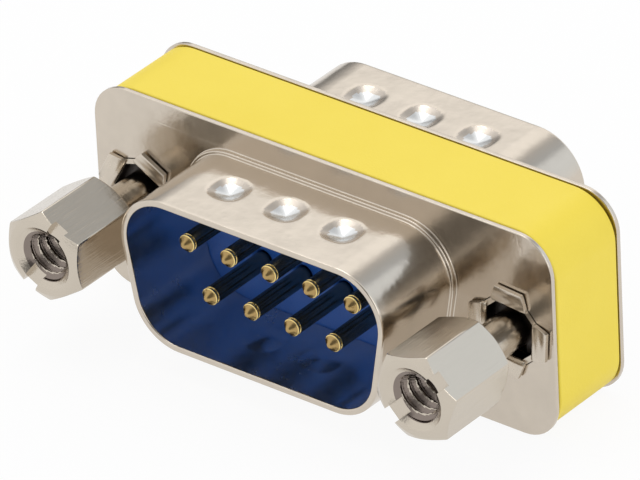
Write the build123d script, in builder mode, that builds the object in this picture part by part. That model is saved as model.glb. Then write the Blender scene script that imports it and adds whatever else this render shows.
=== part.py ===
"""A nine way D-sub gender changer with a plug at each end, in millimetres.

Two identical plugs stand back to back. Each is a drawn metal shell with a D shaped skirt,
a back plate whose split eyelets are clinched over the flange, a moulded insulator and nine
turned pins. Their tails are soldered to one small link board. A moulded ring closes the
space between the flanges. A jackscrew floats in each pair of eyelets, held by a ring.

X runs along the flanges, Y from the front plug (at -Y) to the rear one, and Z is up.
The origin is the centre of the closing ring's lower face.
"""

import math
import os

from build123d import *

os.makedirs("parts", exist_ok=True)

# Contacts
pin_pitch = 2.77
row_spacing = 2.84
pin_radius = 0.51
pin_length = 4.9
pin_tip_bevel = 0.1
post_side = 0.64
post_clearance = 0.02

# The D shaped skirts, wide side up
pin_end_margin = 2.92
pin_row_margin = 2.76
d_corner = 2.6
d_side_angle = 10
skirt_wall = 0.37
front_skirt_height = 6.05
rear_skirt_height = 5.6

# The raised step that each skirt stands on
step_margin = 0.2
step_rise = 0.28

# Dents pressed into the skirts, which grip the shell of the mating socket
dent_pitch = 3.8
dent_height = 2.85
dent_radius = 1.15
dent_sides = 12
dent_wall_angle = 65
dent_depth = 0.42
upper_dent_count = 3
lower_dent_count = 2

# Flanges and the moulded ring between them
shell_sheet = 0.28
flange_corner = 2.2
flange_lip = 0.18
band_width = 5.34
band_wall = 0.7
band_corner = 2.6
band_gap = 0.04
band_room = 0.68

# Back plates and their clinched eyelets
plate_sheet = 0.3
plate_clearance = 0.1
eyelet_side = 3.0
eyelet_corner = 0.6
eyelet_clearance = 0.05
eyelet_collar = 0.2
eyelet_gap = 0.737
petal_root_width = 2.2
petal_tip_width = 1.7
petal_length = 0.85
petal_bend = 0.08
petal_lift = 3
left_petal_turn = 61
right_petal_turn = 86

# Insulators
insulator_clearance = 0.05
shoulder_margin = 0.3
shoulder_depth = 1.0

# Link board
board_thickness = 1.6
board_end_margin = 3.2
board_row_margin = 2.4

# Jackscrews, drawn forward as far as they go
hex_sides = 6
hex_across_flats = 4.76
hex_length = 5.0
hex_end_height = 8.3
hex_end_bevel = 0.13
hex_rear_bevel = 0.02
hex_bevel_angle = 35
socket_radius = 1.42
socket_floor = 0.5
socket_mouth = 0.28
slot_width = 0.9
slot_depth = 0.5
neck_radius = 1.1
thread_radius = 1.42
thread_length = 4.3
thread_bevel = 0.35
thread_tip_length = 0.9
left_hex_turn = 92
right_hex_turn = 74

# Retaining rings
ring_catch = 0.35
ring_thickness = 0.45
ring_mouth = 1.1
ring_play = 0.1
ring_clearance = 0.02
groove_depth = 0.3

# The contacts as seen from in front of their plug, the long row above the short one
long_row = (-2, -1, 0, 1, 2)
short_row = (-1.5, -0.5, 0.5, 1.5)
pin_places = [(pin_pitch * step, row_spacing / 2) for step in long_row]
pin_places += [(pin_pitch * step, -row_spacing / 2) for step in short_row]
row_length = pin_pitch * (len(long_row) - 1)

# Opening of a skirt, and how far each D about it stands outside it
d_width = row_length + 2 * pin_end_margin
d_height = row_spacing + 2 * pin_row_margin
slope = math.radians(d_side_angle)
d_flare = d_corner * ((1 + math.sin(slope)) / math.cos(slope) - 1)
step_grow = skirt_wall + step_margin
recess_grow = step_grow - shell_sheet
block_grow = recess_grow - insulator_clearance
shoulder_grow = recess_grow + shoulder_margin

# A petal turns out of the eyelet's hole and ends at its reach from the screw's axis
fold_turns = (0, 45 - petal_lift / 2, 90 - petal_lift)
fold_start = eyelet_side / 2 + plate_sheet + petal_bend
petal_reach = fold_start + petal_length * math.cos(math.radians(petal_lift))

# Distances from the part's middle, along X and Z
screw_across = d_width / 2 + step_grow + eyelet_gap + petal_reach
flange_width = 2 * (screw_across + petal_reach + flange_lip)
flange_height = d_height + 2 * (shoulder_grow + band_room + band_wall)
mid_height = flange_height / 2
plate_inset = band_wall + plate_clearance
plate_corner = band_corner - plate_inset

# Distances from the part's middle, along Y
outer_face = band_width / 2 + band_gap + shell_sheet
plate_front = outer_face - shell_sheet
plate_back = plate_front - plate_sheet
seat_face = outer_face + step_rise - shell_sheet
shoulder_back = plate_back - shoulder_depth
board_face = board_thickness / 2
hex_end = outer_face + hex_end_height
hex_rear = hex_end - hex_length
socket_end = hex_rear + socket_floor
thread_tip = -outer_face - thread_tip_length
thread_start = thread_tip + thread_length
ring_front = plate_back - ring_play
ring_back = ring_front - ring_thickness

# Radii about a screw's axis
hex_guard = hex_across_flats
hex_end_radius = hex_across_flats / 2 - hex_end_bevel
hex_rear_radius = hex_across_flats / 2 - hex_rear_bevel
bevel_slope = math.tan(math.radians(hex_bevel_angle))
ring_radius = eyelet_side / 2 + ring_catch
groove_radius = neck_radius - groove_depth


def plug_point(facing, distance, across=0.0, up=0.0):
    """A point of the plug facing -Y (-1) or +Y (1), as someone sees it who looks into it."""
    return Vector(-facing * across, facing * distance, mid_height + up)


def plug_plane(facing, distance, across=0.0):
    """A plane square to Y that looks out of that plug."""
    return Plane(
        origin=plug_point(facing, distance, across),
        x_dir=(-facing, 0, 0),
        z_dir=(0, facing, 0),
    )


# The opening of a skirt, wide side up
with BuildSketch() as d_opening:
    Trapezoid(d_width + 2 * d_flare, d_height, 90 - d_side_angle, rotation=180)
    fillet(d_opening.vertices(), d_corner)

# One dent, pressed along Z from the face of the sheet
with BuildPart() as dent:
    with BuildSketch():
        RegularPolygon(dent_radius, dent_sides)
    extrude(amount=dent_depth, taper=dent_wall_angle)

# The hole through an eyelet, square with cut corners
with BuildSketch() as eyelet_hole:
    Rectangle(eyelet_side, eyelet_side)
    chamfer(eyelet_hole.vertices(), eyelet_corner)

# One petal of an eyelet: it rises out of the hole, then folds outward over the flange
with BuildPart() as petal:
    with BuildSketch(Plane.XZ):
        with BuildLine():
            fold_centre = Vector(fold_start, 0)
            upper = [fold_centre - Vector(petal_bend + plate_sheet, 0).rotate(Axis.Z, -turn) for turn in fold_turns]
            lower = [fold_centre - Vector(petal_bend, 0).rotate(Axis.Z, -turn) for turn in fold_turns]
            outward_step = Vector(petal_length, 0).rotate(Axis.Z, petal_lift)
            wall_drop = Vector(0, shell_sheet)
            upper = [upper[0] - wall_drop, *upper, upper[-1] + outward_step]
            lower = [lower[0] - wall_drop, *lower, lower[-1] + outward_step]
            Polyline(*upper, *reversed(lower), close=True)
        make_face()
    extrude(amount=petal_root_width / 2, both=True)
    petal_rise = petal.part.bounding_box().max.Z
    with BuildSketch(Plane.XY.offset(-shell_sheet)):
        with BuildLine():
            Polyline(
                (0, -petal_root_width / 2),
                (fold_start, -petal_root_width / 2),
                (petal_reach, -petal_tip_width / 2),
                (petal_reach, petal_tip_width / 2),
                (fold_start, petal_root_width / 2),
                (0, petal_root_width / 2),
                close=True,
            )
        make_face()
    extrude(amount=shell_sheet + petal_rise, mode=Mode.INTERSECT)

# A contact on the Z axis: a square post from the link board, and a round pin ahead of it
with BuildPart() as contact:
    with BuildSketch(Plane.XY.offset(board_face)):
        Rectangle(post_side, post_side)
    extrude(amount=seat_face - board_face)
    with BuildSketch(Plane.XY.offset(seat_face)):
        Circle(pin_radius)
    extrude(amount=outer_face + pin_length - seat_face)
    chamfer(contact.edges().sort_by(Axis.Z)[-1], pin_tip_bevel)

for end, facing, skirt_height in (("front", -1, front_skirt_height), ("rear", 1, rear_skirt_height)):
    eyelets = ((-screw_across, left_petal_turn), (screw_across, right_petal_turn))

    # Drawn shell: flange, raised step and skirt from one sheet
    with BuildPart() as shell:
        with BuildSketch(plug_plane(facing, plate_front)):
            RectangleRounded(flange_width, flange_height, flange_corner)
        extrude(amount=shell_sheet)
        with BuildSketch(plug_plane(facing, outer_face)):
            add(d_opening.sketch)
            offset(amount=step_grow)
        extrude(amount=step_rise)
        with BuildSketch(plug_plane(facing, outer_face + step_rise)):
            add(d_opening.sketch)
            offset(amount=skirt_wall)
        extrude(amount=skirt_height - step_rise)
        with BuildSketch(plug_plane(facing, plate_front)):
            add(d_opening.sketch)
            offset(amount=recess_grow)
        extrude(amount=seat_face - plate_front, mode=Mode.SUBTRACT)
        with BuildSketch(plug_plane(facing, seat_face)):
            add(d_opening.sketch)
        extrude(amount=skirt_height, mode=Mode.SUBTRACT)

        # Dents, each a bump inside and a dish outside
        for side, dent_count in ((1, upper_dent_count), (-1, lower_dent_count)):
            for number in range(dent_count):
                across = (number - (dent_count - 1) / 2) * dent_pitch
                inner_point = plug_point(facing, outer_face + dent_height, across, side * d_height / 2)
                outer_point = inner_point + Vector(0, 0, side * skirt_wall)
                inward = Rotation(90 + side * 90, 0, 0)
                add(Pos(inner_point) * inward * dent.part)
                add(Pos(outer_point) * inward * dent.part, mode=Mode.SUBTRACT)

        for across, turn in eyelets:
            with BuildSketch(plug_plane(facing, plate_front, across)):
                with Locations(Rotation(0, 0, turn)):
                    add(eyelet_hole.sketch)
                offset(amount=plate_sheet + eyelet_clearance, kind=Kind.INTERSECTION)
            extrude(amount=shell_sheet, mode=Mode.SUBTRACT)
    shell.part.label = f"{end}_shell"
    export_step(shell.part, f"parts/{end}_shell.step")

    # Back plate with its split eyelets, clinched over the flange
    with BuildPart() as back_plate:
        with BuildSketch(plug_plane(facing, plate_back)):
            rim = Rectangle(flange_width - 2 * plate_inset, flange_height - 2 * plate_inset)
            chamfer(rim.vertices(), plate_corner)
        extrude(amount=plate_sheet)
        for across, turn in eyelets:
            with BuildSketch(plug_plane(facing, plate_back, across)):
                with Locations(Rotation(0, 0, turn)):
                    add(eyelet_hole.sketch)
                offset(amount=plate_sheet, kind=Kind.INTERSECTION)
            extrude(amount=plate_sheet + eyelet_collar)
            with Locations(plug_plane(facing, outer_face, across)):
                with PolarLocations(0, 4, start_angle=turn):
                    add(petal.part)
            with BuildSketch(plug_plane(facing, plate_back, across)):
                with Locations(Rotation(0, 0, turn)):
                    add(eyelet_hole.sketch)
            extrude(amount=plate_sheet + shell_sheet, mode=Mode.SUBTRACT)
        with BuildSketch(plug_plane(facing, plate_back)):
            add(d_opening.sketch)
            offset(amount=block_grow + insulator_clearance)
        extrude(amount=plate_sheet, mode=Mode.SUBTRACT)
    back_plate.part.label = f"{end}_back_plate"
    export_step(back_plate.part, f"parts/{end}_back_plate.step")

    # Insulator: a shoulder behind the plate and a block that closes the foot of the skirt
    with BuildPart() as insulator:
        with BuildSketch(plug_plane(facing, shoulder_back)):
            Rectangle(d_width + 2 * shoulder_grow, d_height + 2 * shoulder_grow)
        extrude(amount=shoulder_depth)
        with BuildSketch(plug_plane(facing, plate_back)):
            add(d_opening.sketch)
            offset(amount=block_grow)
        extrude(amount=seat_face - plate_back)
        with BuildSketch(plug_plane(facing, shoulder_back)):
            with Locations(*pin_places):
                Rectangle(post_side + 2 * post_clearance, post_side + 2 * post_clearance)
        extrude(amount=seat_face - shoulder_back, mode=Mode.SUBTRACT)
    insulator.part.label = f"{end}_insulator"
    export_step(insulator.part, f"parts/{end}_insulator.step")

    # Nine contacts, numbered along the long row and then along the short one
    for number, place in enumerate(pin_places, start=1):
        with BuildPart() as pin:
            with Locations(plug_plane(facing, 0)):
                with Locations(place):
                    add(contact.part)
        pin.part.label = f"{end}_pin_{number}"
        export_step(pin.part, f"parts/{end}_pin_{number}.step")

# Link board, with the posts of both plugs soldered to its faces
with BuildPart() as link_board:
    with BuildSketch(plug_plane(-1, -board_face)):
        Rectangle(row_length + 2 * board_end_margin, row_spacing + 2 * board_row_margin)
    extrude(amount=board_thickness)
link_board.part.label = "link_board"
export_step(link_board.part, "parts/link_board.step")

# Moulded ring that closes the space between the flanges
with BuildPart() as band:
    with BuildSketch(plug_plane(-1, -band_width / 2)):
        RectangleRounded(flange_width, flange_height, band_corner)
        RectangleRounded(
            flange_width - 2 * band_wall,
            flange_height - 2 * band_wall,
            band_corner - band_wall,
            mode=Mode.SUBTRACT,
        )
    extrude(amount=band_width)
band.part.label = "band"
export_step(band.part, "parts/band.step")

for name, across, turn in (
    ("left", -screw_across, left_hex_turn),
    ("right", screw_across, right_hex_turn),
):
    # Jackscrew: a slotted hex socket in front, a thin neck, and a male thread behind
    axis_plane = Plane(origin=plug_point(-1, 0, across), x_dir=(1, 0, 0), z_dir=(0, 0, 1))
    screw_axis = Axis(plug_point(-1, 0, across), (0, -1, 0))
    with BuildPart() as jackscrew:
        with BuildSketch(plug_plane(-1, hex_rear, across)):
            RegularPolygon(hex_across_flats / 2, hex_sides, major_radius=False, rotation=turn)
        extrude(amount=hex_length)
        end_drop = (hex_guard - hex_end_radius) * bevel_slope
        rear_drop = (hex_guard - hex_rear_radius) * bevel_slope
        with BuildSketch(axis_plane):
            with BuildLine():
                Polyline(
                    (0, -hex_end),
                    (hex_end_radius, -hex_end),
                    (hex_guard, -hex_end + end_drop),
                    (hex_guard, -hex_rear - rear_drop),
                    (hex_rear_radius, -hex_rear),
                    (0, -hex_rear),
                    close=True,
                )
            make_face()
        revolve(axis=screw_axis, mode=Mode.INTERSECT)
        with BuildSketch(axis_plane):
            with BuildLine():
                Polyline(
                    (0, -hex_rear),
                    (neck_radius, -hex_rear),
                    (neck_radius, -ring_front - ring_clearance),
                    (groove_radius, -ring_front - ring_clearance),
                    (groove_radius, -ring_back + ring_clearance),
                    (neck_radius, -ring_back + ring_clearance),
                    (neck_radius, -thread_start),
                    (thread_radius, -thread_start),
                    (thread_radius, -thread_tip - thread_bevel),
                    (thread_radius - thread_bevel, -thread_tip),
                    (0, -thread_tip),
                    close=True,
                )
            make_face()
        revolve(axis=screw_axis)
        with BuildSketch(axis_plane):
            with BuildLine():
                Polyline(
                    (0, -hex_end),
                    (socket_radius + socket_mouth, -hex_end),
                    (socket_radius, -hex_end + socket_mouth),
                    (socket_radius, -socket_end),
                    (0, -socket_end),
                    close=True,
                )
            make_face()
        revolve(axis=screw_axis, mode=Mode.SUBTRACT)
        with BuildSketch(plug_plane(-1, hex_end - slot_depth, across)):
            with Locations(Rotation(0, 0, turn - 180 / hex_sides)):
                Rectangle(2 * hex_across_flats, slot_width)
        extrude(amount=slot_depth, mode=Mode.SUBTRACT)
    jackscrew.part.label = f"{name}_jackscrew"
    export_step(jackscrew.part, f"parts/{name}_jackscrew.step")

    # Open ring in the groove of the neck, which keeps the screw captive
    with BuildPart() as retaining_ring:
        with BuildSketch(plug_plane(-1, ring_back, across)):
            Circle(ring_radius)
            Circle(groove_radius + ring_clearance, mode=Mode.SUBTRACT)
            with Locations((0, -ring_radius)):
                Rectangle(ring_mouth, 2 * ring_radius, mode=Mode.SUBTRACT)
        extrude(amount=ring_thickness)
    retaining_ring.part.label = f"{name}_retaining_ring"
    export_step(retaining_ring.part, f"parts/{name}_retaining_ring.step")

print("petal rise", round(petal_rise, 3))
print("flange", round(flange_width, 3), round(flange_height, 3), "screws", round(2 * screw_across, 3))
print("screw travel", round(hex_rear - outer_face - petal_rise, 3))
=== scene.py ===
# %% [markdown]
# # A nine way D-sub gender changer
# The part is two nickel plated plugs set back to back. A yellow moulded ring closes the space between
# them, and two slotted jackscrews float in the clinched eyelets of the flanges.
# The packed CAD model gives the frame that everything here is built around. This lesson dresses it:
# it makes finer meshes for the pieces that show, gives each a finish worked out from nodes, and sets
# up a small studio with a camera in the place that the photograph was taken from.

import math

import bmesh
import bpy
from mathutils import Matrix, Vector
from mathutils.geometry import tessellate_polygon


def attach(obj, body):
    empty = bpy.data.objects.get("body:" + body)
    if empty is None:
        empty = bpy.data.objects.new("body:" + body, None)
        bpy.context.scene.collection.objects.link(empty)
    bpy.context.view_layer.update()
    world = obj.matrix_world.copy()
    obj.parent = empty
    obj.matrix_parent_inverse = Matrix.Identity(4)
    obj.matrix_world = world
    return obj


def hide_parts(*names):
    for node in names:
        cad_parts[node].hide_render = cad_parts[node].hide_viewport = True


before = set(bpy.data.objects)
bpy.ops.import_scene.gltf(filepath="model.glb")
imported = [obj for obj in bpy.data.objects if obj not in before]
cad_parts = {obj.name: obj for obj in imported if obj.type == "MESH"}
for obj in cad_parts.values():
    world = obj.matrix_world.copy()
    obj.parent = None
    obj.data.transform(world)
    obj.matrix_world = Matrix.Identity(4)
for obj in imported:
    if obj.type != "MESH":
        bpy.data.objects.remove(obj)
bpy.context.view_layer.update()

# %% [markdown]
# ## Sizes
# Blender's unit is the metre, but a connector is easier to think about in millimetres. So the sizes
# below are the ones of the CAD model in millimetres, and every mesh is scaled once, when its piece is
# made. A distance is measured along Y from the part's middle plane, out to a plug's face. Across and up
# are measured from the middle of a plug, and all angles that have a name are in degrees.

# %% Sizes that the pieces share
MM = 0.001
MID = 6.15
OUTER_FACE = 2.99
SHEET = 0.28
PLATE = 0.3
SCREW_ACROSS = 12.4958
FLANGE = (30.8093, 12.3, 2.2)
BAND_WIDTH, BAND_WALL, BAND_CORNER = 5.34, 0.7, 2.6
D_WIDTH, D_HEIGHT, D_CORNER = 16.92, 8.36, 2.6
D_ANGLE = 10
SKIRT_WALL = 0.37
STEP_OUT, STEP_RISE = 0.57, 0.28
SEAT_FACE = OUTER_FACE + STEP_RISE - SHEET
PLATE_FRONT = OUTER_FACE - SHEET
PLATE_BACK = PLATE_FRONT - PLATE
RECESS = STEP_OUT - SHEET
# Which way each plug faces along Y, and how high its skirt stands.
PLUGS = {"front": (-1, 6.05), "rear": (1, 5.6)}
EYELET_SIDE, EYELET_CORNER = 3.0, 0.6
# The turn of the eyelet on each side of a plug.
EYELET_TURNS = {-1: 61, 1: 86}
PIN_PITCH, ROW_SPACING = 2.77, 2.84
print("D opening", D_WIDTH, "by", D_HEIGHT, "mm")


def plug_place(facing, distance, across, up):
    """A point of the part, given as it is seen when looking into a plug. Facing is -1 or 1."""
    return Vector((-facing * across, facing * distance, MID + up))


# %% [markdown]
# ## The camera
# The photograph was taken from well back with a long lens, so lines that are parallel on the part stay
# nearly parallel in the picture. The place, the aim and the small roll were found by fitting points of
# the CAD model to the same points in the photograph.

# %% Camera
CAMERA_AT = Vector((289.838, -351.971, 282.216)) * MM
CAMERA_RIGHT = Vector((0.78498, 0.61800, -0.04343))
CAMERA_DOWN = Vector((0.29163, -0.43046, -0.85420))
LENS, SENSOR = 562.5, 36
NEAREST, FARTHEST = 0.01, 20

camera = bpy.data.objects.new("camera", bpy.data.cameras.new("camera"))
bpy.context.scene.collection.objects.link(camera)
camera.data.lens = LENS
camera.data.sensor_width = SENSOR
camera.data.sensor_fit = "HORIZONTAL"
camera.data.clip_start, camera.data.clip_end = NEAREST, FARTHEST
side = CAMERA_RIGHT.normalized()
backward = side.cross((-CAMERA_DOWN).normalized()).normalized()
for column, axis in enumerate((side, backward.cross(side), backward, CAMERA_AT)):
    for row in range(3):
        camera.matrix_world[row][column] = axis[row]
bpy.context.scene.camera = camera
print("camera", [round(v, 4) for v in camera.matrix_world.translation])

# %% [markdown]
# ## A way to write finishes
# A finish is a small net of shader nodes. Written out link by link it is hard to read, so one class
# wraps an output socket and lets Python arithmetic add the Math nodes. A second one holds the node tree
# and has a single method for every other node. The helpers under it only call that method.

# %% Shader maths
class Wire:
    """An output socket. Sums and products of wires add Math nodes."""

    def __init__(self, finish, socket):
        self.finish, self.socket = finish, socket

    def maths(self, operation, *values):
        return self.finish.node("ShaderNodeMath", {"operation": operation}, dict(enumerate(values)))

    def __add__(self, other):
        return self.maths("ADD", self, other)

    def __sub__(self, other):
        return self.maths("SUBTRACT", self, other)

    def __rsub__(self, other):
        return self.maths("SUBTRACT", other, self)

    def __mul__(self, other):
        return self.maths("MULTIPLY", self, other)

    def limited(self, low=0.0, high=1.0):
        return self.maths("MINIMUM", self.maths("MAXIMUM", self, low), high)

    __radd__ = __add__
    __rmul__ = __mul__


print("wires know", [name for name in vars(Wire) if name.startswith("__r")])

# %% [markdown]
# A finish owns one node tree. Its grain is the noise that every material here is made from.

# %% Finishes
class Finish:
    """A node tree, of a material or of the world."""

    def __init__(self, owner):
        owner.use_nodes = True
        self.owner, self.tree = owner, owner.node_tree
        self.tree.nodes.clear()

    def node(self, kind, settings=None, inputs=None, output=0):
        """Any node, from its type, its settings, and the values or wires of its sockets."""
        made = self.tree.nodes.new(kind)
        for name, value in (settings or {}).items():
            setattr(made, name, value)
        for key, value in (inputs or {}).items():
            if isinstance(value, Wire):
                self.tree.links.new(value.socket, made.inputs[key])
            else:
                made.inputs[key].default_value = value
        return Wire(self, made.outputs[output]) if made.outputs else None

    def grain(self, scale, detail=3.0, stretch=(1, 1, 1)):
        """A cloudy value from 0 to 1, varying every 1/scale metres, drawn out where stretch is small."""
        place = self.node("ShaderNodeTexCoord", output="Object")
        place = self.node("ShaderNodeMapping", {}, {"Vector": place, "Scale": stretch})
        wanted = {"Vector": place, "Scale": scale, "Detail": detail}
        return self.node("ShaderNodeTexNoise", {}, wanted)

    def blend(self, factor, first, second):
        wanted = {"Factor": factor, 6: first, 7: second}
        return self.node("ShaderNodeMix", {"data_type": "RGBA"}, wanted, output=2)

    def bump(self, height, distance, strength):
        wanted = {"Height": height, "Distance": distance, "Strength": strength}
        return self.node("ShaderNodeBump", {}, wanted, output="Normal")

    def surface(self, **sockets):
        """Ends the tree in a Principled surface. Base_Color stands for its Base Color socket."""
        wanted = {name.replace("_", " "): value for name, value in sockets.items()}
        shader = self.node("ShaderNodeBsdfPrincipled", {}, wanted)
        self.node("ShaderNodeOutputMaterial", {}, {"Surface": shader})
        return self.owner


def new_finish(name):
    return Finish(bpy.data.materials.new(name))


def shade_of(tint, share):
    """The tint made darker or lighter."""
    return tuple(min(1, share * c) for c in tint[:3]) + (1,)


print("shader helpers ready")

# %% [markdown]
# ## Nickel plate
# Bright nickel on drawn steel is a slightly warm mirror. It isn't perfect: the sheet keeps a soft
# waviness from the press, handling leaves faint hairlines, and the plate is a touch duller in places.
# Most of this is in the roughness and in a very shallow bump. Four tints of the same plate are enough:
# one for the shells, a cooler one inside the skirts, a darker and rougher one in the pressed dents,
# whose darker tint is painted shade, and one for the petals.

# %% Nickel finishes
NICKEL_BUMP, NICKEL_BUMP_DEPTH = 0.42, 0.0004


def nickel(name, tint, roughness, waviness, hairlines, wear_depth=0.06):
    f = new_finish(name)
    clouds = f.grain(420, 4)
    smudge = f.grain(1500, 5)
    scratch = f.grain(5000, 2, (1, 0.06, 0.3))
    speck = f.grain(5500, 2)
    colour = f.blend((clouds * 0.7 + smudge * 0.5 - 0.35).limited(), tint, shade_of(tint, 0.86))
    wear = (speck * 3 - 2.05).limited()
    rough = roughness + (clouds - 0.5) * 0.12 + (smudge - 0.5) * 0.14
    rough = rough + scratch * hairlines + wear * wear_depth
    height = clouds * waviness + scratch * 0.02 * hairlines + speck * 0.05 * wear_depth
    return f.surface(
        Base_Color=colour,
        Metallic=1.0,
        Roughness=rough.limited(0.06, 0.7),
        Normal=f.bump(height, NICKEL_BUMP_DEPTH, NICKEL_BUMP),
    )


shell_nickel = nickel("shell_nickel", (0.64, 0.57, 0.485, 1), 0.15, 0.25, 0.08)
inner_nickel = nickel("inner_nickel", (0.70, 0.71, 0.71, 1), 0.23, 0.10, 0.02, 0.0)
# The dents' darker tint is painted shade.
dent_shade_nickel = nickel("dent_shade_nickel", (0.53, 0.475, 0.415, 1), 0.26, 0.30, 0.08)
petal_nickel = nickel("petal_nickel", (0.66, 0.59, 0.50, 1), 0.24, 0.30, 0.10)
for finish in (shell_nickel, inner_nickel, dent_shade_nickel, petal_nickel):
    print("nickel", finish.name)

# %% [markdown]
# The jackscrews are turned and milled from bar, so their plate shows the fine lines of the cutter along
# the flats. Stretching the noise along the bar gives those lines. The same finish with a darker tint is
# painted shade on metal that gets little light: the bore's threads, the insides of the eyelets, the
# retaining rings and the shafts and cones of the contacts.

# %% Screw and ring finishes
FINE_BUMP_DEPTH = 0.0002


def machined(name, tint, roughness, relief=0.14):
    f = new_finish(name)
    cut = f.grain(11000, 3, (1, 0.05, 1))
    patch = f.grain(700, 3)
    colour = f.blend((cut * 0.8 + patch * 0.4 - 0.1).limited(), tint, shade_of(tint, 1.07))
    rough = roughness + (cut - 0.5) * 0.10 + (patch - 0.5) * 0.08
    return f.surface(
        Base_Color=colour,
        Metallic=1.0,
        Roughness=rough.limited(0.12, 0.6),
        Normal=f.bump(cut * 0.35 + patch * 0.5, FINE_BUMP_DEPTH, relief),
    )


screw_nickel = machined("screw_nickel", (0.57, 0.51, 0.43, 1), 0.16, 0.20)
shaded_nickel = machined("shaded_nickel", (0.07, 0.055, 0.045, 1), 0.45)
bore_shade_nickel = machined("bore_shade_nickel", (0.24, 0.20, 0.175, 1), 0.18)
ring_steel = machined("ring_steel", (0.10, 0.09, 0.085, 1), 0.45)
shaft_shade_gold = machined("shaft_shade_gold", (0.26, 0.24, 0.17, 1), 0.24)
tip_shade_gold = machined("tip_shade_gold", (0.42, 0.29, 0.12, 1), 0.20)
for finish in (screw_nickel, shaded_nickel, bore_shade_nickel, ring_steel, shaft_shade_gold, tip_shade_gold):
    print("machined", finish.name)

# %% [markdown]
# ## Gold, blue and yellow
# The contacts have a thin flash of gold over brass. The insulator is a glass filled plastic with a dull
# shine and a faint orange peel, and the closing ring is a smooth, slightly glossy yellow moulding. The
# link board's green laminate is made in the same way.

# %% Contact and plastic finishes
def flash_gold():
    f = new_finish("flash_gold")
    lathe = f.grain(6000, 2, (1, 6, 1))
    worn = f.grain(1800, 4)
    colour = f.blend((worn * 2 - 0.7).limited(), (0.82, 0.64, 0.27, 1), (0.68, 0.50, 0.20, 1))
    rough = 0.13 + (lathe - 0.5) * 0.10 + (worn - 0.5) * 0.12
    return f.surface(
        Base_Color=colour,
        Metallic=1.0,
        Roughness=rough.limited(0.06, 0.5),
        Normal=f.bump(lathe, FINE_BUMP_DEPTH, 0.12),
    )


def moulding(name, colour, shade, roughness, peel):
    f = new_finish(name)
    flow = f.grain(260, 3)
    skin = f.grain(7000, 3)
    mixed = f.blend((flow * 1.6 - 0.3).limited(), colour, shade)
    rough = roughness + (skin - 0.5) * 0.16 + (flow - 0.5) * 0.06
    normal = f.bump(skin * 0.5 + flow * 0.4, FINE_BUMP_DEPTH, peel)
    return f.surface(Base_Color=mixed, Roughness=rough.limited(0.1, 0.8), Normal=normal)


gold = flash_gold()
blue = moulding("blue_moulding", (0.022, 0.125, 0.520, 1), (0.017, 0.100, 0.440, 1), 0.34, 0.20)
yellow = moulding("yellow_moulding", (0.885, 0.70, 0.070, 1), (0.855, 0.665, 0.058, 1), 0.50, 0.12)
laminate = moulding("green_laminate", (0.020, 0.16, 0.055, 1), (0.015, 0.12, 0.045, 1), 0.35, 0.25)
for finish in (gold, blue, yellow, laminate):
    print("finish", finish.name)

# %% [markdown]
# ## A way to build pieces
# Almost every piece here is a pressed, turned or moulded form, so its surface can be woven from rings
# of points. A form keeps the points and faces in millimetres. A band joins two rings of as many points,
# a loft joins a row of rings, a flat closes one ring and leaves holes for others, and a fan closes a
# ring in a point. Because each ring is shared by what meets there, the finished mesh is one closed skin.

# %% Forms woven from rings
SAME_POINT, NO_LENGTH = 1e-7, 1e-8
SHARP = 38


class Form:
    def __init__(self):
        self.points, self.faces = [], []

    def ring(self, points):
        start = len(self.points)
        self.points += [Vector(p) for p in points]
        return list(range(start, start + len(points)))

    def band(self, first, second):
        for i in range(len(first)):
            j = (i + 1) % len(first)
            self.faces.append((first[i], first[j], second[j], second[i]))

    def loft(self, rings):
        for first, second in zip(rings, rings[1:]):
            self.band(first, second)

    def flat(self, outer, *holes):
        loops = [outer, *holes]
        corners = [index for loop in loops for index in loop]
        found = tessellate_polygon([[self.points[i] for i in loop] for loop in loops])
        self.faces += [tuple(corners[i] for i in triangle) for triangle in found]

    def fan(self, ring, tip):
        centre = self.ring([tip])[0]
        for i, index in enumerate(ring):
            self.faces.append((index, ring[(i + 1) % len(ring)], centre))

    def piece(self, name, body, slot, finish, replaces, sharp=SHARP):
        """The finished object. Edges with a larger angle than sharp, in degrees, stay sharp."""
        mesh = bpy.data.meshes.new(name)
        mesh.from_pydata([tuple(p * MM) for p in self.points], [], self.faces)
        skin = bmesh.new()
        skin.from_mesh(mesh)
        bmesh.ops.remove_doubles(skin, verts=skin.verts, dist=SAME_POINT)
        bmesh.ops.dissolve_degenerate(skin, edges=skin.edges, dist=NO_LENGTH)
        bmesh.ops.recalc_face_normals(skin, faces=skin.faces)
        open_edges = sum(1 for edge in skin.edges if len(edge.link_faces) != 2)
        for edge in skin.edges:
            mark_edge(edge, sharp)
        for face in skin.faces:
            face.smooth = True
        skin.to_mesh(mesh)
        skin.free()
        made = bpy.data.objects.new(name, mesh)
        bpy.context.scene.collection.objects.link(made)
        made.data.materials.append(finish)
        even_shading(made)
        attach(made, body)
        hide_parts(*replaces)
        print(made.name, len(mesh.polygons), "faces", open_edges, "open edges")
        return made


print("a form has", [name for name in vars(Form) if not name.startswith("_")])

# %% [markdown]
# Real edges are either crisp or rolled, and the shading has to say which. An edge is smooth where its
# two faces meet at a small angle. Large faces then lead the shading of the small rounds beside them.
# A piece can have more than one finish, so a test on where a face lies picks the ones that get another.

# %% Edges, shading and second finishes
def mark_edge(edge, sharp):
    """Smooth where two faces meet at less than the angle in degrees."""
    edge.smooth = len(edge.link_faces) == 2 and edge.calc_face_angle(0) < math.radians(sharp)


def even_shading(made):
    made.modifiers.new("evened", "WEIGHTED_NORMAL").keep_sharp = True


def refinish(made, finish, inside):
    """Gives a second finish to the faces whose centre, in millimetres, is inside."""
    made.data.materials.append(finish)
    chosen = [face for face in made.data.polygons if inside(face.center / MM)]
    for face in chosen:
        face.material_index = len(made.data.materials) - 1
    print(made.name, len(chosen), "faces in", finish.name)


print("edges over", SHARP, "degrees stay sharp")

# %% [markdown]
# The flat outlines of the flange, the ring and the eyelets are lists of points (across, up) about their
# own middle.

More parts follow.
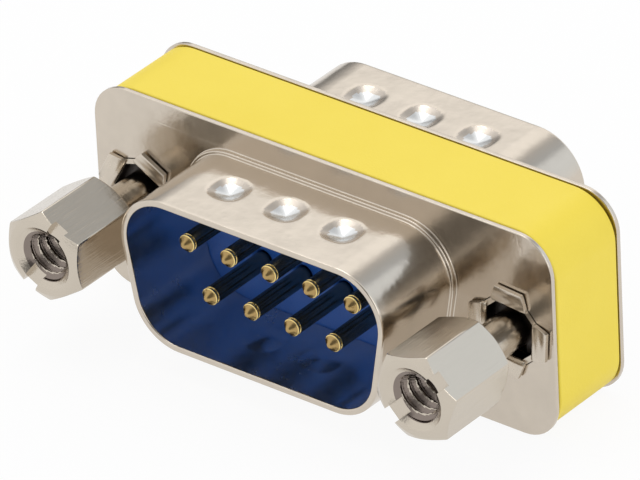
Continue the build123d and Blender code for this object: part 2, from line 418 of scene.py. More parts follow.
# %% Outlines
def turned_point(turn, x, y):
    """The point (x, y) after a turn about the origin, in degrees."""
    c, s = math.cos(math.radians(turn)), math.sin(math.radians(turn))
    return (c * x - s * y, s * x + c * y)


def arc(centre, radius, start, end, steps):
    """Points of an arc in the plane, with its angles in degrees."""
    turns = [math.radians(start + (end - start) * i / steps) for i in range(steps + 1)]
    return [(centre[0] + radius * math.cos(t), centre[1] + radius * math.sin(t)) for t in turns]


def rounded_box(width, height, corner, steps=10):
    """A rounded rectangle as points (across, up)."""
    points = []
    for quarter, (sx, sy) in enumerate(((1, 1), (-1, 1), (-1, -1), (1, -1))):
        centre = (sx * (width / 2 - corner), sy * (height / 2 - corner))
        points += arc(centre, corner, 90 * quarter, 90 * quarter + 90, steps)
    return points


def cut_square(side, corner, turn):
    """A square with cut corners, turned by an angle in degrees."""
    half, near = side / 2, side / 2 - corner
    points = [(half, -near), (half, near), (near, half), (-near, half)]
    points += [(-half, near), (-half, -near), (-near, -half), (near, -half)]
    return [turned_point(turn, x, y) for x, y in points]


print("flange outline of", len(rounded_box(*FLANGE)), "points")

# %% [markdown]
# ## The D outline
# Everything in a plug follows one D: wide above, narrow below, with slanted ends and large corners. It
# is written once as a list of corner centres and directions, so that the same D can be drawn closer in
# or further out, with as many points each time. Its long sides get many points for the dents.

# %% The D outline
def d_directions(long_steps, side_steps, corner_steps):
    """The D's skeleton: corner centres and points between them, each with its direction of growth."""
    slant = math.radians(D_ANGLE)
    top = (D_WIDTH / 2 - D_CORNER, D_HEIGHT / 2 - D_CORNER)
    flare = (1 + math.sin(slant)) / math.cos(slant)
    reach = (D_CORNER + math.sin(slant) * (D_HEIGHT - D_CORNER)) / math.cos(slant)
    low = (top[0] + D_CORNER * flare - reach, -top[1])
    top_left, low_left = (-top[0], top[1]), (-low[0], low[1])
    corners = [(top, 90, -D_ANGLE), (low, -D_ANGLE, -90)]
    corners += [(low_left, -90, D_ANGLE - 180), (top_left, D_ANGLE + 180, 90)]
    steps_after = (side_steps, long_steps, side_steps, long_steps)
    skeleton = []
    for number, (centre, start, end) in enumerate(corners):
        for direction in arc((0, 0), 1, start, end, corner_steps):
            skeleton.append((centre, direction))
        following = corners[(number + 1) % 4][0]
        for i in range(1, steps_after[number]):
            share = i / steps_after[number]
            spot = tuple(a + (b - a) * share for a, b in zip(centre, following))
            skeleton.append((spot, direction))
    return skeleton


D_SKELETON = d_directions(100, 10, 14)
D_COARSE = d_directions(24, 5, 10)


def d_points(grow, skeleton=D_SKELETON):
    """The D as points (across, up), larger than the opening by grow on every side."""
    reach = D_CORNER + grow
    return [(c[0] + reach * n[0], c[1] + reach * n[1]) for c, n in skeleton]


widest = max(across for across, up in d_points(0))
print("half width", round(widest, 3), "of", D_WIDTH / 2, "from", len(D_SKELETON), "points")

# %% [markdown]
# ## The drawn shells
# A shell is one steel sheet, pressed out of a flange into a step and then into the skirt, so its inside
# follows its outside. The section is walked once, from the flange's front over the step, up the skirt,
# round the rim and back down inside, and each of its points becomes a D. The dents push both walls
# inward by the same dish, because they are pressed into the sheet. A Solidify modifier on a thin
# surface would do too, but then the rim and the bends couldn't each have their own radius.
#
# First the dents. Their outline lies between a circle and a square, and a soft foot runs out into the
# flat sheet. The CAD model presses the lower ones as deep as the upper ones. Here they are shallow,
# because the photograph shows no bulge on the floor of the skirt.

# %% Dents
DENT_PITCH, DENT_HEIGHT, DENT_RADIUS = 3.8, 2.85, 1.15
DENT_DEPTHS = {1: 0.42, -1: 0.12}
DENT_SOFTNESS, DENT_SQUARE, DENT_DISH, DENT_REACH = 0.02, 2.6, 1.25, 1.25
DENTS = {1: (-DENT_PITCH, 0, DENT_PITCH), -1: (-DENT_PITCH / 2, DENT_PITCH / 2)}


def dent_depth(across, side, height):
    """How far the sheet is pushed in, at a place on the upper (1) or lower (-1) side of the skirt."""
    for centre in DENTS[side]:
        spread = abs(across - centre) ** DENT_SQUARE + abs(height - DENT_HEIGHT) ** DENT_SQUARE
        away = spread ** (1 / DENT_SQUARE) / DENT_RADIUS
        if away < DENT_REACH:
            dish = 1 - away ** DENT_DISH
            return DENT_DEPTHS[side] * 0.5 * (dish + math.hypot(dish, DENT_SOFTNESS))
    return 0.0


print("middle of an upper dent", round(dent_depth(0, 1, DENT_HEIGHT), 3), "mm deep")

# %% [markdown]
# Next the section of the sheet, and what it becomes when a D is drawn at each of its points. Only the
# long sides of the D have dents, and only above the step.

# %% The sheet's section
STEP_ROUND, STEP_ROOT, SKIRT_ROOT, RIM_ROUND = 0.07, 0.06, 0.06, 0.1
SKIRT_ROW = 0.11
EDGE = 0.05


def skirt_ring(form, facing, grow, distance):
    points = []
    for (across, up), (centre, direction) in zip(d_points(grow), D_SKELETON):
        on_long_side = abs(direction[1]) > 0.999
        if on_long_side and distance > OUTER_FACE + STEP_RISE:
            side = 1 if direction[1] > 0 else -1
            up -= side * dent_depth(across, side, distance - OUTER_FACE)
        points.append(plug_place(facing, distance, across, up))
    return form.ring(points)


def rows(start, end, step):
    """Evenly spaced distances between start and end, without the two."""
    count = max(1, round(abs(end - start) / step))
    return [start + (end - start) * i / count for i in range(1, count)]


def shell_section(skirt_height):
    """The sheet's section from front face to back face, as (growth of the D, distance)."""
    rim, step_top = OUTER_FACE + skirt_height, OUTER_FACE + STEP_RISE
    rim_start, bend = rim - RIM_ROUND, SHEET / 2
    section = arc((STEP_OUT + STEP_ROOT, OUTER_FACE + STEP_ROOT), STEP_ROOT, -90, -180, 5)
    section += arc((STEP_OUT - STEP_ROUND, step_top - STEP_ROUND), STEP_ROUND, 0, 90, 6)
    section += arc((SKIRT_WALL + SKIRT_ROOT, step_top + SKIRT_ROOT), SKIRT_ROOT, -90, -180, 4)
    section += [(SKIRT_WALL, d) for d in rows(section[-1][1], rim_start, SKIRT_ROW)]
    section += arc((SKIRT_WALL - RIM_ROUND, rim_start), RIM_ROUND, 0, 90, 4)
    section += arc((RIM_ROUND, rim_start), RIM_ROUND, 90, 180, 4)
    section += [(0, d) for d in rows(rim_start, SEAT_FACE + EDGE, SKIRT_ROW)]
    section += arc((EDGE, SEAT_FACE + EDGE), EDGE, 180, 270, 2)
    section += [(RECESS, SEAT_FACE)]
    section += arc((RECESS + bend, PLATE_FRONT + bend), bend, 180, 270, 4)
    return section


for end, (facing, skirt_height) in PLUGS.items():
    print(end, "section of", len(shell_section(skirt_height)), "points")

# %% [markdown]
# Last the flange, which is a plate with rounded edges, the D in its middle and an eyelet hole on each
# side. The inside of the skirt then gets its own nickel, and the dents a darker nickel as painted shade,
# each found by where a face lies.

# %% Shells
EYELET_HOLE = (EYELET_SIDE + 2 * (PLATE + 0.05), EYELET_CORNER + 0.2)
SHELL_SHARP = 50
DENT_SHADE_DEPTH = 0.04


def flange_rims(form, facing):
    """Rings round the flange's edge, from its front face to its back, with both edges rounded."""
    width, height, corner = FLANGE
    quarter = [(EDGE - x, EDGE - y) for x, y in arc((0, 0), EDGE, 90, 0, 3)]
    steps = [(inset, OUTER_FACE - drop) for inset, drop in quarter]
    steps += [(inset, PLATE_FRONT + rise) for inset, rise in reversed(quarter)]
    rims = []
    for inset, distance in steps:
        outline = rounded_box(width - 2 * inset, height - 2 * inset, corner - inset)
        rims.append(form.ring([plug_place(facing, distance, a, u) for a, u in outline]))
    form.loft(rims)
    return rims


def make_shell(end):
    facing, skirt_height = PLUGS[end]
    form = Form()
    skirt = [skirt_ring(form, facing, grow, distance) for grow, distance in shell_section(skirt_height)]
    form.loft(skirt)
    rims = flange_rims(form, facing)
    fronts, backs = [], []
    for across_side, turn in EYELET_TURNS.items():
        hole = [(across_side * SCREW_ACROSS + x, y) for x, y in cut_square(*EYELET_HOLE, turn)]
        fronts.append(form.ring([plug_place(facing, OUTER_FACE, a, u) for a, u in hole]))
        backs.append(form.ring([plug_place(facing, PLATE_FRONT, a, u) for a, u in hole]))
        form.band(fronts[-1], backs[-1])
    form.flat(rims[0], skirt[0], *fronts)
    form.flat(rims[-1], skirt[-1], *backs)
    names = (f"{end}_shell_sheet", "housing", "shell_plating")
    made = form.piece(*names, shell_nickel, [f"{end}_shell"], SHELL_SHARP)
    middle_of_wall = d_points(SKIRT_WALL / 2, D_COARSE)
    rim_start = OUTER_FACE + skirt_height - RIM_ROUND

    def in_dent(spot):
        side = 1 if spot.z > MID else -1
        return dent_depth(-facing * spot.x, side, abs(spot.y) - OUTER_FACE) > DENT_SHADE_DEPTH

    def in_skirt(spot):
        across, up = -facing * spot.x, spot.z - MID
        crossings = 0
        for (ax, au), (bx, bu) in zip(middle_of_wall, middle_of_wall[1:] + middle_of_wall[:1]):
            if (au > up) != (bu > up) and across < ax + (bx - ax) * (up - au) / (bu - au):
                crossings += 1
        return crossings % 2 == 1 and OUTER_FACE < abs(spot.y) < rim_start

    # The dents get a darker nickel: painted shade.
    refinish(made, dent_shade_nickel, in_dent)
    refinish(made, inner_nickel, in_skirt)


for end in PLUGS:
    make_shell(end)

# %% [markdown]
# ## Back plates and clinched eyelets
# A plate lies behind each flange. Round each screw it has a square collar that comes up through the
# flange and is split at the corners, and its four petals are rolled outward over the sheet. The punch
# never does this quite evenly, so each petal has its own lift in degrees, length and skew. They come
# from a short table, so the result is the same each time. A flat strip with a Bend modifier would be
# quicker to set up, but here the fold's inner and outer radius have to match the sheet's thickness.
# The petals look thinner in the photograph than the plate's sheet, so they are drawn thinner than the
# CAD model has them.

# %% Petals
PETAL_ROOT, PETAL_TIP, PETAL_BEND, PETAL_SHEET = 2.25, 1.80, 0.03, 0.26
PETAL_DEPTH, PETAL_ROUND, PETAL_BEND_STEPS = 0.55, 0.05, 8
PETAL_SHARES = (0.3, 0.65, 0.93, 1.0)
TIP_START, TIP_TAPER, TIP_PINCH = 0.9, 0.3, 0.04
EDGE_PULL, SKEW_SHIFT = 0.25, 0.02
PETAL_HABITS = [(4, 0.82, 0.0), (3, 0.76, 2.5), (6, 0.84, -2.0), (3.5, 0.78, 1.5)]


def petal_path(lift, length):
    """Points along the petal: its upper and lower face (out, rise), and the share of its length."""
    start = EYELET_SIDE / 2
    outer, inner = PETAL_BEND + PETAL_SHEET, PETAL_BEND
    fold = start + outer
    path = [((start, -PETAL_DEPTH), (start + PETAL_SHEET, -PETAL_DEPTH), 0.0)]
    for i in range(PETAL_BEND_STEPS + 1):
        t = math.radians(180 - (90 - lift) * i / PETAL_BEND_STEPS)
        c, s = math.cos(t), math.sin(t)
        path.append(((fold + outer * c, outer * s), (fold + inner * c, inner * s), 0.0))
    top, low = path[-1][:2]
    c, s = math.cos(math.radians(lift)), math.sin(math.radians(lift))
    for share in PETAL_SHARES:
        out, rise = c * length * share, s * length * share
        pinch = TIP_PINCH if share == 1.0 else 0.0
        upper = (top[0] + out + s * pinch, top[1] + rise - c * pinch)
        path.append((upper, (low[0] + out, low[1] + rise), share))
    return path


def petal(form, place, lift, length, skew):
    """One petal as a bent strip. place turns (out, sideways, rise) into a point."""
    sections = []
    for top, low, share in petal_path(lift, length):
        half = (PETAL_ROOT + (PETAL_TIP - PETAL_ROOT) * share) / 2
        half -= TIP_TAPER * max(0.0, share - TIP_START)
        shift = skew * SKEW_SHIFT * share
        mid = ((top[0] + low[0]) / 2, (top[1] + low[1]) / 2)
        loop = []
        for side, ends in ((-1, (top, low)), (1, (low, top))):
            corners = []
            soft, full = side * (half - PETAL_ROUND) + shift, side * half + shift
            for spot in ends:
                pulled = tuple(a + (b - a) * EDGE_PULL for a, b in zip(spot, mid))
                corners.append(((soft, spot), (full, pulled)))
            loop += corners[0] + corners[1][::-1]
        sections.append(form.ring([place(spot[0], sideways, spot[1]) for sideways, spot in loop]))
    form.loft(sections)
    form.flat(sections[0])
    form.flat(sections[-1])


print(len(PETAL_HABITS), "petals for each screw")

# %% [markdown]
# The plate itself is flat, with the D cut out. In the photograph almost no light comes back out of the
# eyelets, so the inside of each collar gets the dark finish.

# %% Back plates
PLATE_INSET, PLATE_CORNER = 1.6, 1.8
COLLAR_BORE = (EYELET_SIDE, EYELET_CORNER)
COLLAR_WALL = (EYELET_SIDE + 2 * PLATE, EYELET_CORNER + 0.18)
COLLAR_TOP = OUTER_FACE + 0.03
EYELET_DEPTH, EYELET_REACH = 0.1, 1.8


def make_back_plate(end):
    facing = PLUGS[end][0]
    form = Form()

    def ring(loop, distance):
        return form.ring([plug_place(facing, distance, a, u) for a, u in loop])

    outline = rounded_box(FLANGE[0] - PLATE_INSET, FLANGE[1] - PLATE_INSET, PLATE_CORNER, 6)
    loops = [outline, d_points(RECESS, D_COARSE)]
    front, back = [[ring(loop, distance) for loop in loops] for distance in (PLATE_FRONT, PLATE_BACK)]
    for near, far in zip(front, back):
        form.band(near, far)
    roots, floors = [], []
    for across_side, turn in EYELET_TURNS.items():
        bore, wall = [
            [(across_side * SCREW_ACROSS + x, y) for x, y in cut_square(*sizes, turn)]
            for sizes in (COLLAR_BORE, COLLAR_WALL)
        ]
        collar = [ring(bore, distance) for distance in (PLATE_BACK, COLLAR_TOP)]
        collar += [ring(wall, distance) for distance in (COLLAR_TOP, PLATE_FRONT)]
        form.loft(collar)
        floors.append(collar[0])
        roots.append(collar[-1])
        for quarter, habits in enumerate(PETAL_HABITS):

            def place(out, sideways, rise, across_side=across_side, angle=turn + 90 * quarter):
                x, y = turned_point(angle, out, sideways)
                return plug_place(facing, OUTER_FACE + rise, across_side * SCREW_ACROSS + x, y)

            petal(form, place, *habits)
    form.flat(*front, *roots)
    form.flat(*back, *floors)
    names = (f"{end}_plate_and_petals", "housing", "plate_plating")
    made = form.piece(*names, petal_nickel, [f"{end}_back_plate"])

    def in_eyelet(spot):
        away = math.hypot(abs(spot.x) - SCREW_ACROSS, spot.z - MID)
        return abs(spot.y) < OUTER_FACE - EYELET_DEPTH and away < EYELET_REACH

    refinish(made, shaded_nickel, in_eyelet)


for end in PLUGS:
    make_back_plate(end)

# %% [markdown]
# ## Contacts
# Each contact is turned from rod: a shaft with a shoulder, a ring groove near the end, and a coned tip
# that finds its way into the mating socket. A turned piece is a profile swept round an axis. A Screw
# modifier does the same, but one function can also make the holes that the contacts stand in.

# %% Contacts
PIN_LENGTH, BOARD_FACE = 4.9, 0.8
PIN_PLACES = [(PIN_PITCH * step, ROW_SPACING / 2) for step in (-2, -1, 0, 1, 2)]
PIN_PLACES += [(PIN_PITCH * step, -ROW_SPACING / 2) for step in (-1.5, -0.5, 0.5, 1.5)]
PIN_TAIL = [(0.30, BOARD_FACE), (0.32, BOARD_FACE + 0.02), (0.32, SEAT_FACE - 0.3)]
PIN_TAIL += [(0.44, SEAT_FACE - 0.24), (0.44, SEAT_FACE - 0.02), (0.51, SEAT_FACE)]
# The front end as (radius, distance below the tip).
PIN_GROOVE = [(0.51, 0.60), (0.50, 0.57), (0.46, 0.55), (0.46, 0.49), (0.50, 0.47), (0.51, 0.44)]
PIN_CONE = [(0.505, 0.38), (0.45, 0.35), (0.33, 0.23), (0.22, 0.11), (0.15, 0.04)]
PIN_CONE += [(0.10, 0.01), (0.05, 0.0)]
SHAFT_END, CONE_START = 0.6, 0.33


def turned(form, place, profile, steps):
    """Rings round an axis, from a profile of (radius, distance)."""
    angles = [2 * math.pi * i / steps for i in range(steps)]
    rings = [form.ring([place(radius, t, distance) for t in angles]) for radius, distance in profile]
    form.loft(rings)
    return rings


def round_pin(facing, number):
    """A function that places (radius, angle, distance) round the axis of a contact."""
    across, up = PIN_PLACES[number - 1]

    def place(radius, turn, distance):
        x, y = radius * math.cos(turn), radius * math.sin(turn)
        return plug_place(facing, distance, across + x, up + y)

    return place


def make_pin(end, number):
    facing = PLUGS[end][0]
    form, place = Form(), round_pin(facing, number)
    tip = OUTER_FACE + PIN_LENGTH
    profile = PIN_TAIL + [(radius, tip - drop) for radius, drop in PIN_GROOVE + PIN_CONE]
    rings = turned(form, place, profile, 32)
    form.fan(rings[0], place(0, 0, BOARD_FACE))
    form.fan(rings[-1], place(0, 0, tip))
    node = f"{end}_pin_{number}"
    made = form.piece(f"{node}_turned", "housing", "gold_contact", gold, [node])
    # The shafts and the coned tips get darker tints: painted shade.
    refinish(made, shaft_shade_gold, lambda spot: abs(spot.y) < tip - SHAFT_END)
    refinish(made, tip_shade_gold, lambda spot: abs(spot.y) > tip - CONE_START)


for end in PLUGS:
    for number in range(1, len(PIN_PLACES) + 1):
        make_pin(end, number)

# %% [markdown]
# ## Insulators
# The blue moulding sits under the step, and its front face is level with the seat that the drawn sheet
# makes there. A wider shoulder holds it behind the back plate. Each contact comes out of a small
# funnel in its face. Nine Boolean cuts would leave ragged faces, so the funnels are woven in.

# %% Insulators
SHOULDER_BACK, SHOULDER_OUT = PLATE_BACK - 1.0, 0.35
BLOCK_OUT, BLOCK_ROUND = RECESS - 0.05, 0.08
PIN_HOLE = [(0.74, SEAT_FACE), (0.70, SEAT_FACE - 0.03), (0.56, SEAT_FACE - 0.12)]
PIN_HOLE += [(0.53, SEAT_FACE - 0.16), (0.53, SHOULDER_BACK)]


def make_insulator(end):
    facing = PLUGS[end][0]
    form = Form()
    shoulder, soft = BLOCK_OUT + SHOULDER_OUT, BLOCK_ROUND
    section = [(shoulder, SHOULDER_BACK), (shoulder, PLATE_BACK), (BLOCK_OUT, PLATE_BACK)]
    section += [(BLOCK_OUT - a * soft, SEAT_FACE - b * soft) for a, b in ((0, 1), (0.3, 0.3), (1, 0))]
    block = []
    for grow, distance in section:
        outline = d_points(grow, D_COARSE)
        block.append(form.ring([plug_place(facing, distance, a, u) for a, u in outline]))
    form.loft(block)
    holes = [turned(form, round_pin(facing, i + 1), PIN_HOLE, 24) for i in range(len(PIN_PLACES))]
    form.flat(block[-1], *[hole[0] for hole in holes])
    form.flat(block[0], *[hole[-1] for hole in holes])
    form.piece(f"{end}_insulator_block", "housing", "blue_insulator", blue, [f"{end}_insulator"])


for end in PLUGS:
    make_insulator(end)

# %% [markdown]
# ## The closing ring
# The yellow ring is a rectangular tube with large corners. Its outside stands just inside the flanges'
# edges at the corners, where it is rounded a little more than they are. Moulded edges are never sharp,
# so each rim gets a small round, and the ring stops a hair short of both flanges. A Bevel modifier could
# round the rims, but with the round in the section all of it is one loft.

# %% Closing ring
BAND_SHORT, BAND_ROUND = 0.05, 0.13

band = Form()
band_half = BAND_WIDTH / 2 - BAND_SHORT
band_section = []
for x, y in arc((0, 0), BAND_ROUND, 0, 90, 5):
    band_section.append((BAND_ROUND - y, band_half - BAND_ROUND + x))
band_section += [(inset, -distance) for inset, distance in reversed(band_section)]
band_section += [(BAND_WALL, -band_half), (BAND_WALL, band_half)]
band_rings = []
for inset, distance in band_section:
    outline = rounded_box(FLANGE[0] - 2 * inset, FLANGE[1] - 2 * inset, BAND_CORNER - inset, 14)
    band_rings.append(band.ring([(a, distance, MID + u) for a, u in outline]))
band.loft(band_rings + band_rings[:1])
band.piece("band_moulding", "housing", "yellow_band", yellow, ["band"])

# %% [markdown]
# ## Jackscrews
# A jackscrew starts as hex bar. One end is chamfered on the lathe, drilled and tapped, and slotted for
# a screwdriver; the other is turned down to a neck and a thread. Where the lathe's cone meets the six
# flats it leaves the arched edge that every machined hex has, so each point of the outline works out
# where the cone stops. The threads are real ridges, because a bump would leave their outline straight:
# the radius rises and falls with the turn and the distance together.

# %% Sizes of a jackscrew
# The side of the part that each screw is on, and the turn of its hexagon.
SCREWS = {"left": (-1, 92), "right": (1, 74)}
HEX_FLATS, HEX_CORNER = 4.76, 0.14
HEX_END, HEX_REAR = OUTER_FACE + 8.3, OUTER_FACE + 3.3
END_RADIUS, REAR_RADIUS = 2.25, 2.36
BEVEL = math.tan(math.radians(35))
BEVEL_ROUND, FLAT_ROUND = 0.03, 0.05

NECK, RING_SEAT = 1.1, 0.8
RING_FRONT, RING_BACK = PLATE_BACK - 0.1, PLATE_BACK - 0.55
SHANK = [(REAR_RADIUS - 0.05, HEX_REAR), (NECK + 0.12, HEX_REAR), (NECK + 0.03, HEX_REAR - 0.03)]
SHANK += [(NECK, HEX_REAR - 0.12), (NECK, OUTER_FACE + 1.6), (NECK, OUTER_FACE)]
SHANK += [(NECK, RING_FRONT + 0.04), (RING_SEAT, RING_FRONT + 0.03)]
SHANK += [(RING_SEAT, RING_BACK - 0.03), (NECK, RING_BACK - 0.04)]

THREAD_PITCH, ROWS_PER_PITCH = 25.4 / 40, 20
RIDGE_STEEPNESS, RIDGE_CUT = 1.3, 0.28
THREAD_ROOT, THREAD_CREST = 1.10, 1.40
THREAD_TIP = -OUTER_FACE - 0.9
THREAD_START = THREAD_TIP + 4.3
TIP_RUN_IN, NECK_RUN_OUT = 0.45, 0.5

BORE_MOUTH = [(1.84, HEX_END), (1.80, HEX_END - 0.03), (1.50, HEX_END - 0.26)]
BORE_ROOT, BORE_RIDGE, BORE_RUN_IN = 1.46, 0.32, 0.6
BORE_TOP, BORE_FLOOR = HEX_END - 0.32, HEX_REAR + 0.5
BORE_END = [(1.12, BORE_FLOOR + 0.2), (0.9, BORE_FLOOR)]
BORE_THREAD_END, BORE_POINT = BORE_FLOOR + 0.6, BORE_FLOOR - 0.2
print("hex from", round(HEX_REAR, 2), "to", round(HEX_END, 2), "mm, thread pitch", THREAD_PITCH, "mm")


# %% [markdown]
# Every ring of a screw has the points of the hexagon's outline, so that round and six-sided rings join
# one to one. On the round ones only the angles of the points are used.

# %% Outline and thread
def hex_outline(turn, flat_steps=10, corner_steps=4):
    """A hexagon with slightly rounded corners, as (radius, angle) pairs."""
    inner = (HEX_FLATS / 2 - HEX_CORNER) / math.cos(math.radians(30))
    points = []
    for k in range(6):
        corner_turn = turn + 60 * k
        centre, following = [turned_point(corner_turn + more, inner, 0) for more in (0, 60)]
        points += arc(centre, HEX_CORNER, corner_turn - 30, corner_turn + 30, corner_steps)
        next_start = turned_point(corner_turn + 30, HEX_CORNER, 0)
        first, last = points[-1], (following[0] + next_start[0], following[1] + next_start[1])
        for i in range(1, flat_steps):
            points.append(tuple(a + (b - a) * i / flat_steps for a, b in zip(first, last)))
    return [(math.hypot(x, y), math.atan2(y, x)) for x, y in points]


def thread_wave(turn, distance, hand):
    """From 0 in the root to 1 on the crest of a thread with one start. Hand is 1 outside, -1 inside."""
    phase = (distance / THREAD_PITCH - hand * turn / (2 * math.pi)) % 1.0
    ridge = 1 - abs(2 * phase - 1)
    return min(1.0, max(0.0, ridge * RIDGE_STEEPNESS - RIDGE_CUT))


def thread_rows(start, end):
    return [start, *rows(start, end, THREAD_PITCH / ROWS_PER_PITCH), end]


def male_radius(turn, distance):
    fade = min(1.0, (THREAD_START - distance) / NECK_RUN_OUT, (distance - THREAD_TIP) / TIP_RUN_IN)
    return THREAD_ROOT + (THREAD_CREST - THREAD_ROOT) * max(0.0, fade) * thread_wave(turn, distance, 1)


def female_radius(turn, distance):
    fade = min(1.0, (HEX_END - distance) / BORE_RUN_IN)
    return BORE_ROOT - BORE_RIDGE * fade * thread_wave(turn, distance, -1)


print("hex outline of", len(hex_outline(0)), "points")

# %% [markdown]
# The slot is cut with a Boolean, which leaves new edges. Inside the bore the ridges stay smooth up to a
# wider angle than the flats outside, so that the thread doesn't look like stairs.

# %% The slot
SLOT_LENGTH, SLOT_WIDTH, SLOT_DEPTH, SLOT_CLEAR = 6.8, 0.9, 0.5, 0.5
THREAD_REACH, THREAD_SHARP, HEX_SHARP = 1.49, 48, 30


def slot_cutter(place, turn):
    """The bar of metal that the slot takes away, from the middle of one flat to the flat opposite."""
    corners = []
    for distance in (HEX_END - SLOT_DEPTH, HEX_END + SLOT_CLEAR):
        for x, y in ((-1, -1), (1, -1), (1, 1), (-1, 1)):
            px, py = turned_point(turn - 30, x * SLOT_LENGTH / 2, y * SLOT_WIDTH / 2)
            corners.append(tuple(place(math.hypot(px, py), math.atan2(py, px), distance) * MM))
    sides = [(0, 1, 2, 3), (4, 5, 6, 7), (0, 1, 5, 4), (1, 2, 6, 5), (2, 3, 7, 6), (3, 0, 4, 7)]
    mesh = bpy.data.meshes.new("slot_cutter")
    mesh.from_pydata(corners, [], sides)
    skin = bmesh.new()
    skin.from_mesh(mesh)
    bmesh.ops.recalc_face_normals(skin, faces=skin.faces)
    skin.to_mesh(mesh)
    skin.free()
    cutter = bpy.data.objects.new("slot_cutter", mesh)
    bpy.context.scene.collection.objects.link(cutter)
    return cutter


def cut_slot(made, place, turn):
    """Cuts the screwdriver slot across the end of the hex."""
    cutter, uncut = slot_cutter(place, turn), made.data
    made.modifiers.clear()
    cut = made.modifiers.new("slot", "BOOLEAN")
    cut.operation, cut.solver, cut.object = "DIFFERENCE", "EXACT", cutter
    graph = bpy.context.evaluated_depsgraph_get()
    made.data = bpy.data.meshes.new_from_object(made.evaluated_get(graph))
    made.modifiers.clear()
    bpy.data.meshes.remove(uncut)
    bpy.data.meshes.remove(cutter.data)
    skin = bmesh.new()
    skin.from_mesh(made.data)
    axis = place(0, 0, 0) * MM
    for edge in skin.edges:
        middle = (edge.verts[0].co + edge.verts[1].co) / 2 - axis
        in_thread = math.hypot(middle.x, middle.z) < THREAD_REACH * MM
        mark_edge(edge, THREAD_SHARP if in_thread else HEX_SHARP)
    skin.to_mesh(made.data)
    skin.free()
    even_shading(made)
    print(made.name, "slotted:", len(made.data.polygons), "faces")


print("slot", SLOT_WIDTH, "mm wide and", SLOT_DEPTH, "mm deep")

# %% [markdown]
# The outer skin runs from the hexagon's end face to the tip of the thread, and the bore goes on from
# the same first ring down to its floor, so each screw is one closed skin before its slot is cut.

# %% Jackscrews
THREAD_MOUTH, BORE_MIDDLE, BORE_WALL = 0.28, 1.2, 1.52


def make_jackscrew(name):
    across_side, turn = SCREWS[name]
    form = Form()
    outline = hex_outline(turn)

    def place(radius, angle, distance):
        across = across_side * SCREW_ACROSS + radius * math.cos(angle)
        return plug_place(-1, distance, across, radius * math.sin(angle))

    def round_rings(profile):
        return [form.ring([place(radius, t, d) for r, t in outline]) for radius, d in profile]

    def thread_rings(start, end, radius_at):
        distances = thread_rows(start, end)
        return [form.ring([place(radius_at(t, d), t, d) for r, t in outline]) for d in distances]

    def arched_ring(end, cone_radius, inward, pull, shift):
        """The hex where the lathe's cone meets its flats, pulled in and shifted to round the edge."""
        points = []
        for r, t in outline:
            cut = max(0.0, r - cone_radius) * BEVEL
            points.append(place(r - pull, t, end + inward * (cut + shift)))
        return form.ring(points)

    on_cone, on_flat = (BEVEL_ROUND, -BEVEL_ROUND * BEVEL), (0.0, FLAT_ROUND)
    skin = round_rings([(END_RADIUS - 0.06, HEX_END), (END_RADIUS, HEX_END - 0.03)])
    skin += [arched_ring(HEX_END, END_RADIUS, -1, *edge) for edge in (on_cone, on_flat)]
    skin += [arched_ring(HEX_REAR, REAR_RADIUS, 1, *edge) for edge in (on_flat, on_cone)]
    skin += round_rings(SHANK)
    skin += thread_rings(THREAD_START, THREAD_TIP, male_radius)
    form.loft(skin)
    form.fan(skin[-1], place(0, 0, THREAD_TIP))
    bore = [skin[0], *round_rings(BORE_MOUTH)]
    bore += thread_rings(BORE_TOP, BORE_THREAD_END, female_radius)
    bore += round_rings(BORE_END)
    form.loft(bore)
    form.fan(bore[-1], place(0, 0, BORE_POINT))
    names = (f"{name}_screw_turned", f"{name}_screw", "screw_plating")
    made = form.piece(*names, screw_nickel, [f"{name}_jackscrew"])
    cut_slot(made, place, turn)

    def in_bore(spot):
        away = math.hypot(spot.x - across_side * SCREW_ACROSS, spot.z - MID)
        return THREAD_MOUTH - HEX_END < spot.y < -HEX_REAR and BORE_MIDDLE < away < BORE_WALL

    # The thread's flanks and roots in the bore get a darker nickel as painted shade; the crests and the
    # mouth keep the bright plate.
    refinish(made, bore_shade_nickel, in_bore)


for name in SCREWS:
    make_jackscrew(name)

# %% [markdown]
# ## Pieces kept from the CAD model
# The link board and the two retaining rings are hidden inside, and their solids are right as they are.
# They only need a finish. The rings get a dark tint as painted shade, for the little of them that
# shows through the eyelets.

# %% Finishes for the kept pieces
KEPT = {"link_board": laminate, "left_retaining_ring": ring_steel, "right_retaining_ring": ring_steel}
for node, finish in KEPT.items():
    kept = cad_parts[node]
    kept.data.materials.clear()
    kept.data.materials.append(finish)
    print("kept", node)

# %% [markdown]
# ## The studio
# The photograph is a catalogue picture on white, and what a mirror shows is the room around it. So the
# room is built from soft patches on a white sky: a dark one round the camera, a dark one low behind on
# the left, a fainter dark one above and behind, and a bright one high behind on the left. A cool patch
# behind on the right keeps the metal from looking brown all over. The camera itself sees plain white.
# Two lamps add the glints, one overhead on the left and one on the right. They come first.

# %% Lamps
LIT_POINT = Vector((0, 0, 0.006))
LAMPS = {"key_lamp": ((-0.10, 0.02, 0.33), 0.17, 0.18), "side_lamp": ((0.34, -0.04, 0.16), 0.24, 0.24)}
for name, (at, width, watts) in LAMPS.items():
    lamp = bpy.data.objects.new(name, bpy.data.lights.new(name, "AREA"))
    bpy.context.scene.collection.objects.link(lamp)
    lamp.data.shape, lamp.data.size, lamp.data.energy = "SQUARE", width, watts
    lamp.location = at
    lamp.rotation_euler = (LIT_POINT - Vector(at)).to_track_quat("-Z", "Y").to_euler()
    print(name, watts, "W")

# %% [markdown]
# A patch has a direction, an angle up to which it is full, and a wider one where it ends. Its last
# number says how much light it takes away or adds.

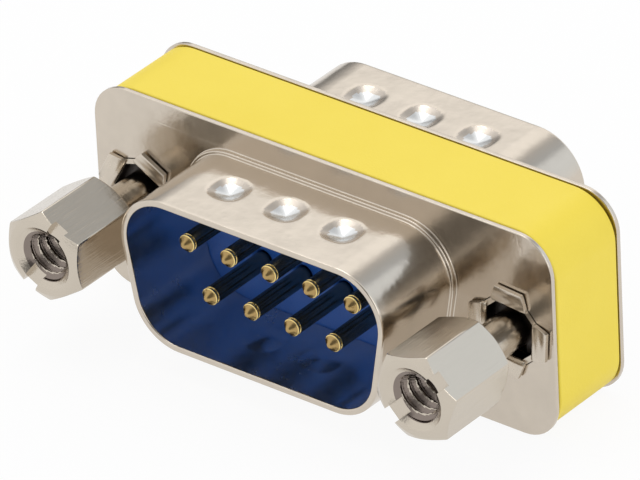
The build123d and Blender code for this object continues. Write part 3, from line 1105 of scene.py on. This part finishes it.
# %% The room
DARK_PATCHES = [((0.52, -0.62, 0.58), 16, 44, 0.78), ((-0.76, 0.64, 0.10), 10, 30, 0.78)]
DARK_PATCHES += [((0.12, 0.66, 0.74), 8, 20, 0.42)]
BRIGHT_PATCH = ((-0.53, 0.64, 0.60), 10, 34, 0.32)
COOL_PATCH = ((0.54, 0.66, 0.52), 10, 40)
WHITE, COOL_WHITE = (1, 1, 1, 1), (0.95, 1.03, 1.12, 1)

world = bpy.data.worlds.new("studio_world")
bpy.context.scene.world = world
sky = Finish(world)
direction = sky.node("ShaderNodeTexCoord", output="Generated")


def patch(towards, inner, outer):
    """1 within an angle of a direction, falling softly to 0 at a wider one."""
    wanted = {0: direction, 1: tuple(Vector(towards).normalized())}
    along = sky.node("ShaderNodeVectorMath", {"operation": "DOT_PRODUCT"}, wanted, output="Value")
    edge, full = math.cos(math.radians(outer)), math.cos(math.radians(inner))
    share = ((along - edge) * (1 / (full - edge))).limited()
    return share * share * (3 - 2 * share)


room = 1.0
for *where, depth in DARK_PATCHES:
    room = (1 - depth * patch(*where)) * room
*where, gain = BRIGHT_PATCH
room = room + gain * patch(*where)
seen = sky.node("ShaderNodeLightPath", output="Is Camera Ray")
tone = sky.blend(seen, sky.blend(patch(*COOL_PATCH), WHITE, COOL_WHITE), WHITE)
light = {"Color": tone, "Strength": room * (1 - seen) + seen}
sky.node("ShaderNodeOutputWorld", {}, {"Surface": sky.node("ShaderNodeBackground", {}, light)})
print("room of", len(sky.tree.nodes), "nodes")

# %% [markdown]
# The floor is white paper that takes the part's shadow. For the camera and for mirror rays most of it
# is plain white light, so it doesn't show grey behind the part or in the metal.

# %% The floor
FLOOR_REACH = 2
PLAIN_TO_CAMERA, PLAIN_TO_MIRRORS, PLAIN_THROUGH = 0.92, 0.80, 0.8

floor_mesh = bpy.data.meshes.new("floor")
corners = [(x * FLOOR_REACH, y * FLOOR_REACH, 0) for x, y in ((-1, -1), (1, -1), (1, 1), (-1, 1))]
floor_mesh.from_pydata(corners, [], [(0, 1, 2, 3)])
floor = bpy.data.objects.new("floor", floor_mesh)
bpy.context.scene.collection.objects.link(floor)
paper = new_finish("floor_white")
white = paper.blend(paper.grain(60, 3), (0.86, 0.86, 0.86, 1), (0.90, 0.90, 0.90, 1))
lit = paper.node("ShaderNodeBsdfDiffuse", {}, {"Color": white})
plain = paper.node("ShaderNodeEmission", {}, {"Color": WHITE, "Strength": 1.0})
seen = paper.node("ShaderNodeLightPath", output="Is Camera Ray")
mirrored = paper.node("ShaderNodeLightPath", output="Is Glossy Ray")
through = paper.node("ShaderNodeLightPath", output="Is Transmission Ray")
share = seen * PLAIN_TO_CAMERA + mirrored * PLAIN_TO_MIRRORS + through * PLAIN_THROUGH
mixed = paper.node("ShaderNodeMixShader", {}, {0: share.limited(), 1: lit, 2: plain})
paper.node("ShaderNodeOutputMaterial", {}, {"Surface": mixed})
floor_mesh.materials.append(paper.owner)

bpy.context.scene.view_settings.view_transform = "Standard"
print("floor", floor.name, "in", paper.owner.name)

# %% [markdown]
# ## The dressed part's size
# The dressed part is made to fill the CAD model's box and no more.
